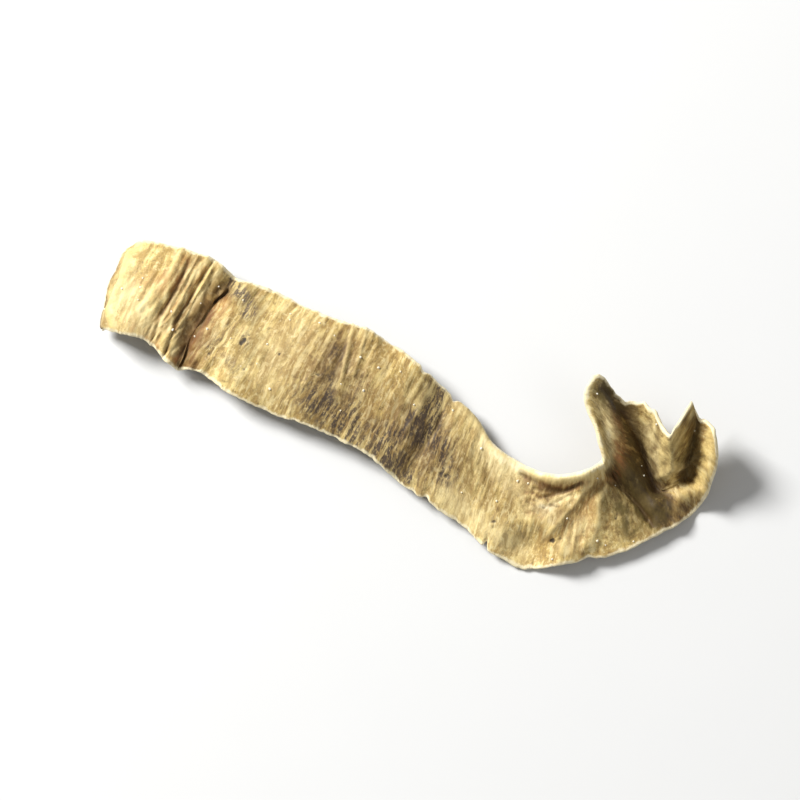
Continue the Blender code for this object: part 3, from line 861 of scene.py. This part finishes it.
class Recipe:
    """Adds nodes to a material and links them."""

    def __init__(self, name):
        self.material = bpy.data.materials.new(name)
        self.material.use_nodes = True
        self.tree = self.material.node_tree
        self.shader = self.tree.nodes["Principled BSDF"]

    def node(self, kind, inputs, output=0, **settings):
        """A node with its settings and inputs, as one of its outputs."""
        made = self.tree.nodes.new(kind)
        for name, value in settings.items():
            setattr(made, name, value)
        for socket, value in inputs.items():
            self.fill(made.inputs[socket], value)
        return made.outputs[output]

    def fill(self, socket, value):
        """Links an output to a socket, or sets the socket's own value."""
        if isinstance(value, bpy.types.NodeSocket):
            self.tree.links.new(value, socket)
        elif hasattr(value, "__len__") and socket.type == "RGBA":
            socket.default_value = tuple(value)[:3] + (1.0,)
        else:
            socket.default_value = value

    def finish(self, **values):
        """Fills the shader's own inputs, which are named with _ for a space."""
        for name, value in values.items():
            self.fill(self.shader.inputs[name.replace("_", " ")], value)
        return self.material

    def mark(self, name):
        """A value that the mesh carries."""
        return self.node("ShaderNodeAttribute", {}, "Fac", attribute_name=name)

    def place(self, scale, bend=None, name="blade_place"):
        """A place that the mesh carries, in mm, shifted by bend and scaled."""
        spot = self.node("ShaderNodeAttribute", {}, "Vector", attribute_name=name)
        if bend is not None:
            spot = self.node("ShaderNodeVectorMath", {0: spot, 1: bend}, operation="ADD")
        return self.node("ShaderNodeVectorMath", {0: spot, 1: scale}, operation="MULTIPLY")

    def grain(self, place, detail, rough=0.55, scale=1.0, output=0):
        """Noise from 0 to 1 at a place, or as a colour where output is 1."""
        inputs = {"Vector": place, "Scale": scale, "Detail": detail, "Roughness": rough}
        return self.node("ShaderNodeTexNoise", inputs, output)

    def band(self, value, low, high, least=0.0, most=1.0):
        """A value's part between low and high, eased, as a share."""
        inputs = {
            "Value": value, "From Min": low, "From Max": high, "To Min": least, "To Max": most,
        }
        return self.node("ShaderNodeMapRange", inputs, interpolation_type="SMOOTHSTEP")

    def maths(self, operation, first, second=0.0):
        """Arithmetic on two values."""
        return self.node("ShaderNodeMath", {0: first, 1: second}, operation=operation)

    def times(self, first, second):
        """Two values multiplied."""
        return self.maths("MULTIPLY", first, second)

    def switch(self, share, first, second):
        """The first value, or the second by share."""
        return self.node("ShaderNodeMix", {0: share, 2: first, 3: second})

    def blend(self, share, base, over, kind="MIX"):
        """Colour over laid on base by share."""
        inputs = {0: share, 6: base, 7: over}
        settings = {"data_type": "RGBA", "blend_type": kind, "clamp_factor": True}
        return self.node("ShaderNodeMix", inputs, 2, **settings)

    def coats(self, colour, coats, mask=None):
        """Colours laid on in turn, each where its value nears high from low, and up to a share."""
        for value, low, high, most, over in coats:
            share = self.band(value, low, high, 0.0, most)
            if mask is not None:
                share = self.times(mask, share)
            colour = self.blend(share, colour, over)
        return colour


class KelpTextures:
    """Noises of the kelp, each from its scale along and across the blade; most sway together."""

    def __init__(self, kelp):
        sway = kelp.grain(kelp.place((0.22, 0.22, 1.0)), 2.0, 0.5, output=1)
        vector = {0: sway, 1: (1.6, 1.6, 0.0)}
        sway = kelp.node("ShaderNodeVectorMath", vector, operation="MULTIPLY")
        self.cloud = kelp.grain(kelp.place((0.16, 0.16, 1.0)), 5.0, 0.6)
        self.patch = kelp.grain(kelp.place((0.55, 0.40, 1.0), sway), 5.0, 0.65)
        self.blot = kelp.grain(kelp.place((0.9, 0.8, 1.0)), 5.0, 0.7)
        self.thread = kelp.grain(kelp.place((3.6, 0.8, 1.0), sway), 4.0, 0.7)
        self.fleck = kelp.grain(kelp.place((2.6, 1.8, 1.0)), 4.0, 0.7)
        self.speck = kelp.grain(kelp.place((4.4, 3.8, 1.0)), 2.0, 0.6)
        self.stroke = kelp.grain(kelp.place((1.5, 0.30, 4.0), sway), 3.0, 0.6)
        # How far along the blade in mm
        self.reach = kelp.node("ShaderNodeSeparateXYZ", {0: kelp.place((1.0, 1.0, 1.0))})
        # Streaks lie across the blade, and run down its lobes as veins
        streak = kelp.grain(kelp.place((1.5, 0.28, 1.0), sway), 4.0, 0.62)
        vein = kelp.grain(kelp.place((0.35, 1.1, 1.0), None, "vein_place"), 5.0, 0.65)
        self.streak = kelp.switch(kelp.band(self.reach, 105.0, 111.0), streak, vein)
        # Swaths of colour give way to blots towards the torn end
        swath = kelp.grain(kelp.place((0.75, 0.12, 1.0), sway), 4.0, 0.6)
        self.swath = kelp.switch(kelp.band(self.reach, 66.0, 84.0, 0.0, 0.75), swath, self.blot)


def kelp_ground(kelp, colours, look):
    """The blade's own colours: cream and straw, with streaks across it."""
    colour = kelp.blend(kelp.band(look.cloud, 0.42, 0.58), colours.cream, colours.straw)
    colour = kelp.coats(colour, (
        (look.patch, 0.48, 0.60, 0.8, colours.tan),
        (look.swath, 0.47, 0.56, 0.85, colours.tan),
        (look.swath, 0.46, 0.34, 0.6, colours.pale),
    ))
    # The streaks gather in zones, and are few on the hump behind the cut end
    few = kelp.band(look.reach, 5.0, 12.0, 0.4, 1.0)
    zone = kelp.times(kelp.band(look.cloud, 0.42, 0.58, 0.3, 1.0), few)
    colour = kelp.coats(colour, (
        (look.streak, 0.51, 0.59, 0.8, colours.tan),
        (look.streak, 0.58, 0.68, 0.6, colours.umber),
        (look.thread, 0.54, 0.63, 0.45, colours.umber),
    ), zone)
    colour = kelp.coats(colour, (
        (look.fleck, 0.58, 0.68, 0.7, colours.umber),
        (look.fleck, 0.44, 0.34, 0.4, colours.pale),
        (look.speck, 0.55, 0.68, 0.3, colours.umber),
        (look.blot, 0.55, 0.66, 0.65, colours.umber),
        (look.blot, 0.47, 0.36, 0.7, colours.pale),
    ))
    return kelp.coats(colour, ((look.stroke, 0.47, 0.38, 0.7, colours.pale),), zone)


def kelp_stains_and_light(kelp, colours, look, colour):
    """Stains, painted shade and painted highlights where the mesh marks them, broken up by the
    blade's textures.
    """
    olive = kelp.times(kelp.mark("olive"), kelp.band(look.patch, 0.34, 0.62, 0.25, 1.0))
    rust = kelp.times(kelp.mark("rust"), kelp.band(look.streak, 0.36, 0.62, 0.1, 1.0))
    smoke = kelp.times(kelp.mark("smoke"), kelp.band(look.streak, 0.40, 0.60, 0.05, 1.2))
    smoke = kelp.times(smoke, kelp.band(look.fleck, 0.38, 0.54, 0.25, 1.0))
    pale = kelp.times(kelp.mark("pale"), kelp.band(look.patch, 0.65, 0.40, 0.45, 1.0))
    colour = kelp.blend(olive, colour, colours.olive)
    colour = kelp.blend(rust, colour, colours.rust)
    colour = kelp.blend(smoke, colour, colours.smoke)
    colour = kelp.blend(pale, colour, colours.pale)
    # The strongest pale strokes take the rim colour: painted highlight
    return kelp.coats(colour, ((pale, 0.8, 1.5, 0.8, colours.rim),))


def kelp_shading_and_wear(kelp, colours, look, colour):
    """Painted shade in the hollows, painted highlights on the crests but for the olive ones, and
    broad painted shade and dim stains.
    """
    crest = kelp.mark("crest")
    # Painted shade in the hollows and painted highlights on the crests
    colour = kelp.coats(colour, ((crest, -0.2, -1.4, 0.65, colours.painted_hollow_shade),))
    crest_highlight_share = kelp.band(kelp.mark("olive"), 1.0, 0.2)
    colour = kelp.coats(colour, ((crest, 0.2, 1.4, 0.5, colours.cream),), crest_highlight_share)
    colour = kelp.coats(colour, ((look.fleck, 0.36, 0.26, 0.4, colours.rim),))
    # Broad painted shade and dim stains, multiplied over the colour
    dusk = kelp.times(kelp.mark("dusk"), kelp.band(look.patch, 0.30, 0.60, 0.45, 1.0))
    colour = kelp.blend(dusk, colour, colours.dusk, "MULTIPLY")
    # The lobes are mottled over their stains
    mottled = kelp.band(look.blot, 0.46, 0.60, 0.0, 0.5)
    mottled = kelp.times(kelp.band(look.reach, 98.0, 106.0), mottled)
    colour = kelp.blend(mottled, colour, colours.dusk, "MULTIPLY")
    return kelp.coats(colour, ((kelp.mark("pit"), 0.15, 0.8, 0.9, colours.pit),))


def dry_kelp(colours):
    """Dry kelp: straw and cream, streaked and stained, with painted shade and highlights on its
    folds, pale rims and a plainer underside.
    """
    kelp = Recipe("dry_kelp")
    look = KelpTextures(kelp)
    colour = kelp_ground(kelp, colours, look)
    colour = kelp_stains_and_light(kelp, colours, look, colour)
    colour = kelp_shading_and_wear(kelp, colours, look, colour)

    below = kelp.blend(kelp.band(look.streak, 0.40, 0.62), colours.underside, colours.olive)
    below = kelp.coats(below, ((look.patch, 0.48, 0.70, 0.6, colours.smoke),))
    colour = kelp.blend(kelp.band(kelp.mark("underside"), 0.35, 0.9), colour, below)

    # Pale rim along the edges, broader round the inner corner of the turn, where it is partly
    # painted highlight on the rolled lip
    uneven = kelp.band(look.patch, 0.3, 0.7, -0.15, 0.35)
    edge = kelp.maths("ADD", kelp.mark("edge_distance"), uneven)
    rim = kelp.times(kelp.band(edge, 0.80, 0.30), kelp.band(look.fleck, 0.30, 0.55, 0.55, 1.0))
    colour = kelp.blend(kelp.times(rim, 0.9), colour, colours.rim)

    relief = kelp.maths("ADD", kelp.times(look.streak, 0.6), kelp.times(look.fleck, 0.5))
    relief = kelp.maths("ADD", relief, kelp.times(look.thread, 0.5))
    relief = kelp.maths("SUBTRACT", relief, kelp.times(look.speck, 0.4))
    bump = {"Strength": 0.55, "Distance": 0.22 * MM, "Height": relief}
    return kelp.finish(
        Base_Color=colour,
        Roughness=kelp.band(look.patch, 0.3, 0.7, 0.50, 0.72),
        Specular_IOR_Level=0.3,
        Normal=kelp.node("ShaderNodeBump", bump),
    )


def dry_salt(colours):
    """Salt bloom: dull white grains."""
    salt = Recipe("dry_salt")
    spot = salt.node("ShaderNodeTexCoord", {}, "Object")
    shade = salt.band(salt.grain(spot, 2.0, 0.5, 4000.0), 0.35, 0.65)
    return salt.finish(Base_Color=salt.blend(shade, colours.salt, colours.rim), Roughness=0.7)


def pale_floor(colour):
    """Plain pale floor, with the faintest unevenness."""
    floor = Recipe("pale_floor")
    spot = floor.node("ShaderNodeTexCoord", {}, "Object")
    shade = floor.grain(spot, 2.0, 0.5, 60.0)
    dim = tuple(0.985 * part for part in colour)
    return floor.finish(Base_Color=floor.blend(shade, colour, dim), Roughness=0.9)


# Settings


def colour_property(name, description, default):
    """A colour that a user may change."""
    return FloatVectorProperty(
        name=name, description=description, default=default, size=3, min=0.0, max=1.0,
        subtype="COLOR",
    )


class KombuSizes(bpy.types.PropertyGroup):
    """Sizes of the blade and its salt."""

    thickness: FloatProperty(
        name="Thickness", description="Thickness of the blade", default=0.9 * MM, min=0.6 * MM,
        max=1.5 * MM, precision=5, unit="LENGTH",
    )
    wrinkle_height: FloatProperty(
        name="Wrinkle height", description="Strength of the fine wrinkles", default=1.0, min=0.0,
        max=2.0, subtype="FACTOR",
    )
    grain_size: FloatProperty(
        name="Salt grain", description="Mean width of a grain of salt", default=0.40 * MM,
        min=0.05 * MM, max=1.0 * MM, precision=5, unit="LENGTH",
    )
    grain_count: IntProperty(
        name="Salt grains", description="Grains strewn over the upper face", default=34, min=0,
        max=200,
    )


class KombuColours(bpy.types.PropertyGroup):
    """Colours of the blade and its salt."""

    cream: colour_property("Cream", "Much of the blade", (0.78, 0.597, 0.235))
    straw: colour_property("Straw", "Much of the blade", (0.68, 0.487, 0.165))
    tan: colour_property("Tan", "Streaks and patches", (0.45, 0.293, 0.096))
    pale: colour_property("Pale", "Rubbed and lit crests", (0.86, 0.71, 0.36))
    umber: colour_property("Umber", "Fine dark threads and flecks", (0.21, 0.13, 0.05))
    # The dim, olive, brown and dark stain colours below also paint shade in the valleys, troughs
    # and creases, and the hollow colour is painted shade in every hollow
    dusk: colour_property("Dusk", "Broad dim stains, seen through", (0.48, 0.42, 0.38))
    olive: colour_property("Olive", "Olive stains", (0.21, 0.16, 0.046))
    rust: colour_property("Rust", "Brown stains, most by the cut end", (0.40, 0.185, 0.055))
    smoke: colour_property("Smoke", "Dark streaked stains", (0.115, 0.084, 0.056))
    painted_hollow_shade: colour_property("Hollow", "Dirt in the hollows", (0.17, 0.105, 0.035))
    pit: colour_property("Pit", "Bottoms of the pits", (0.03, 0.022, 0.018))
    rim: colour_property("Rim", "Pale edges", (0.93, 0.83, 0.55))
    underside: colour_property("Underside", "Underside of the blade", (0.33, 0.235, 0.085))
    salt: colour_property("Salt", "Grains of salt", (0.90, 0.88, 0.80))


class KombuStage(bpy.types.PropertyGroup):
    """Floor, lights and camera."""

    floor: colour_property("Floor", "Colour of the floor", (0.72, 0.72, 0.71))
    key_power: FloatProperty(
        name="Key light", description="Power of the light from the upper left", default=13.4,
        min=0.0, unit="POWER",
    )
    sky: FloatProperty(
        name="Sky", description="Strength of the light from all round", default=0.26, min=0.0,
    )
    frame_width: FloatProperty(
        name="View width", description="Width of what the camera sees at the object",
        default=121.0 * MM, min=0.02, unit="LENGTH",
    )
    camera_away: FloatProperty(
        name="Camera distance", description="Distance of the camera from the object", default=1.5,
        min=0.1, unit="LENGTH",
    )


# Operators


def add_piece(name, mesh, material):
    """An object in the scene that rides on the part's one body."""
    piece = bpy.data.objects.new(name, mesh)
    bpy.context.scene.collection.objects.link(piece)
    mesh.materials.append(material)
    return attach(piece, "root")


class KOMBU_OT_add_blade(bpy.types.Operator):
    """Build the strip of kelp blade and hide the plain solid that it stands for"""

    bl_idname = "kombu.add_blade"
    bl_label = "Add blade"

    def execute(self, context):
        sizes, colours = context.scene.kombu_sizes, context.scene.kombu_colours
        blade = add_piece("dried_kombu", blade_mesh(sizes), dry_kelp(colours))
        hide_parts("kombu_blade")
        return {"FINISHED"}


def mark_of(mesh, name):
    """The values of one of the blade's marks, at each of its points."""
    values = np.zeros(len(mesh.vertices), np.float32)
    mesh.attributes[name].data.foreach_get("value", values)
    return values


def salt_mesh(sizes, blade):
    """Little rough grains, half sunk in the upper face of the blade."""
    draw = np.random.default_rng(SALT_SEED)
    points = np.array([corner.co for corner in blade.vertices])
    normals = np.array([corner.normal for corner in blade.vertices])
    inside = mark_of(blade, "edge_distance") > SALT_MARGIN
    face = np.flatnonzero((mark_of(blade, "underside") == 0.0) & inside)
    chosen = []
    for place in SALT_PLACES:
        away = points[face][:, :2] - np.subtract(place, PLAN_CENTRE) * MM
        chosen.append(face[np.argmin(np.linalg.norm(away, axis=1))])
    chosen += list(draw.choice(face, sizes.grain_count, replace=False))
    grains = bmesh.new()
    for number in chosen:
        width = sizes.grain_size * draw.uniform(*SALT_WIDTHS)
        before = len(grains.verts)
        bmesh.ops.create_icosphere(grains, subdivisions=1, radius=width / 2.0)
        grains.verts.ensure_lookup_table()
        for corner in grains.verts[before:]:
            corner.co *= draw.uniform(*SALT_ROUGHNESS)
            corner.co += Vector(points[number] + normals[number] * width * SALT_RISE)
    mesh = bpy.data.meshes.new("salt_bloom")
    grains.to_mesh(mesh)
    grains.free()
    return mesh


class KOMBU_OT_add_salt(bpy.types.Operator):
    """Strew grains of salt over the blade"""

    bl_idname = "kombu.add_salt"
    bl_label = "Add salt bloom"

    def execute(self, context):
        sizes, colours = context.scene.kombu_sizes, context.scene.kombu_colours
        blade = bpy.data.objects["dried_kombu"].data
        add_piece("salt_bloom", salt_mesh(sizes, blade), dry_salt(colours))
        return {"FINISHED"}


def add_camera(stage):
    """The camera looks down on the object, from a little in front of it."""
    turn, tilt = math.radians(VIEW_AZIMUTH), math.radians(VIEW_ELEVATION)
    level = math.cos(tilt)
    back = Vector((math.sin(turn) * level, -math.cos(turn) * level, math.sin(tilt)))
    camera = bpy.data.objects.new("camera", bpy.data.cameras.new("camera"))
    camera.data.sensor_width = SENSOR_WIDTH
    camera.data.lens = SENSOR_WIDTH * stage.camera_away / stage.frame_width
    camera.data.clip_start = 0.01
    camera.location = Vector(VIEW_AIM) * MM + back * stage.camera_away
    camera.rotation_euler = back.to_track_quat("Z", "Y").to_euler()
    bpy.context.scene.collection.objects.link(camera)
    bpy.context.scene.camera = camera


def add_softbox(name, direction, size, power):
    """A square light that faces the object, from the picture's right, up and towards the camera."""
    turn = math.radians(VIEW_AZIMUTH)
    right, up, height = direction
    x = right * math.cos(turn) - up * math.sin(turn)
    y = right * math.sin(turn) + up * math.cos(turn)
    where = Vector((x, y, height)).normalized() * LIGHT_AWAY
    light = bpy.data.lights.new(name, "AREA")
    light.size, light.energy = size, power
    box = bpy.data.objects.new(name, light)
    box.location = where
    box.rotation_euler = where.to_track_quat("Z", "Y").to_euler()
    bpy.context.scene.collection.objects.link(box)


class KOMBU_OT_add_stage(bpy.types.Operator):
    """Add the plain floor, the soft lights and the camera"""

    bl_idname = "kombu.add_stage"
    bl_label = "Add stage"

    def execute(self, context):
        scene, stage = context.scene, context.scene.kombu_stage
        bpy.ops.mesh.primitive_plane_add(size=FLOOR_SIZE)
        floor = context.object
        floor.name = "floor"
        floor.data.materials.append(pale_floor(stage.floor))
        for name, direction, size, share in SOFTBOXES:
            add_softbox(name, direction, size, stage.key_power * share)
        world = bpy.data.worlds.new("sky")
        world.use_nodes = True
        sky = world.node_tree.nodes["Background"].inputs
        sky["Color"].default_value = (1.0, 1.0, 1.0, 1.0)
        sky["Strength"].default_value = stage.sky
        scene.world = world
        scene.view_settings.view_transform = "Standard"
        add_camera(stage)
        return {"FINISHED"}


class KOMBU_PT_panel(bpy.types.Panel):
    """Lists the pieces and their settings"""

    bl_idname = "KOMBU_PT_panel"
    bl_label = "Kombu"
    bl_space_type = "VIEW_3D"
    bl_region_type = "UI"
    bl_category = "Kombu"

    def draw(self, context):
        scene, layout = context.scene, self.layout
        for operator in PIECES:
            layout.operator(operator.bl_idname)
        for settings in (scene.kombu_sizes, scene.kombu_colours, scene.kombu_stage):
            box = layout.box()
            for name in settings.__annotations__:
                box.prop(settings, name)


PIECES = (KOMBU_OT_add_stage, KOMBU_OT_add_blade, KOMBU_OT_add_salt)
CLASSES = (KombuSizes, KombuColours, KombuStage) + PIECES + (KOMBU_PT_panel,)


def register():
    """Makes the classes known, and hangs the settings on the scene."""
    for item in CLASSES:
        bpy.utils.register_class(item)
    bpy.types.Scene.kombu_sizes = PointerProperty(type=KombuSizes)
    bpy.types.Scene.kombu_colours = PointerProperty(type=KombuColours)
    bpy.types.Scene.kombu_stage = PointerProperty(type=KombuStage)


def unregister():
    """Takes the settings and the classes away again."""
    del bpy.types.Scene.kombu_sizes, bpy.types.Scene.kombu_colours, bpy.types.Scene.kombu_stage
    for item in reversed(CLASSES):
        bpy.utils.unregister_class(item)


def main():
    """Builds the stage and the pieces."""
    register()
    bpy.ops.kombu.add_stage()
    bpy.ops.kombu.add_blade()
    bpy.ops.kombu.add_salt()


if __name__ == "__main__":
    main()
